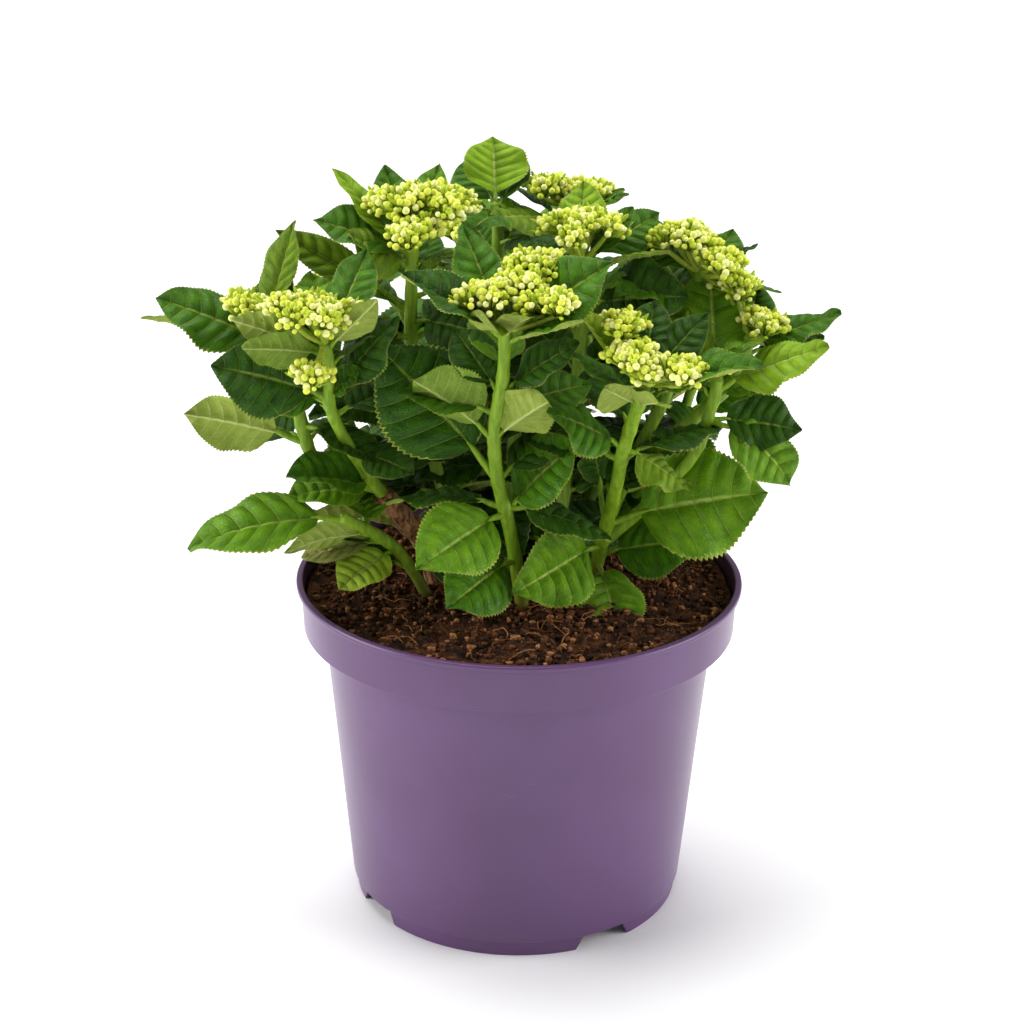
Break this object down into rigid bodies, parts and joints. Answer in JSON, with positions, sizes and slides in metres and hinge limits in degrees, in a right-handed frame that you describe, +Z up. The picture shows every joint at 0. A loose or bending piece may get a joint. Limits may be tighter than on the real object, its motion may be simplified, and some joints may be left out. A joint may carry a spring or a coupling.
{
  "type": "potted hydrangea shrub",
  "caption": "Hydrangea shrub in a round purple nursery pot: bushy crown of toothed leaves on green stems, with flat heads of yellow-green buds.",
  "frame": {"origin": "centre of the pot's underside, on the surface it stands on", "axes": "+Z up along the pot's axis, -Y towards the plant's front"},
  "size_m": [0.3555, 0.2774, 0.4071],
  "materials": {
    "pot": "satin moulded purple plastic",
    "soil": "dark fibrous moist peat compost",
    "old_wood": "flaking brown bark",
    "stem": "smooth fleshy green shoots with rings at the joints",
    "foliage": "glossy quilted green leaves with paler undersides"
  },
  "bodies": {
    "root": {"pot": "pot", "soil": "soil", "stem_front_center": "stem", "stem_front_right": "stem", "stem_left_old_wood": "old_wood", "stem_left_front": "stem", "stem_left": "stem", "stem_low_left": "stem", "stem_top_left": "stem", "stem_middle": "stem", "stem_top": "stem", "stem_right": "stem", "stem_far_right": "stem", "stem_right_low": "stem", "stem_back_left": "stem", "stem_back": "stem", "stem_back_right": "stem", "foliage_front_center": "foliage", "foliage_front_right": "foliage", "foliage_front_left": "foliage", "foliage_low_center": "foliage", "foliage_low_right": "foliage", "foliage_low_left": "foliage", "foliage_left": "foliage", "foliage_top_left": "foliage", "foliage_top": "foliage", "foliage_middle": "foliage", "foliage_right": "foliage", "foliage_far_right": "foliage", "foliage_right_low": "foliage", "foliage_back_left": "foliage", "foliage_back": "foliage", "foliage_back_right": "foliage", "foliage_low_back": "foliage"}
  },
  "joints": []
}
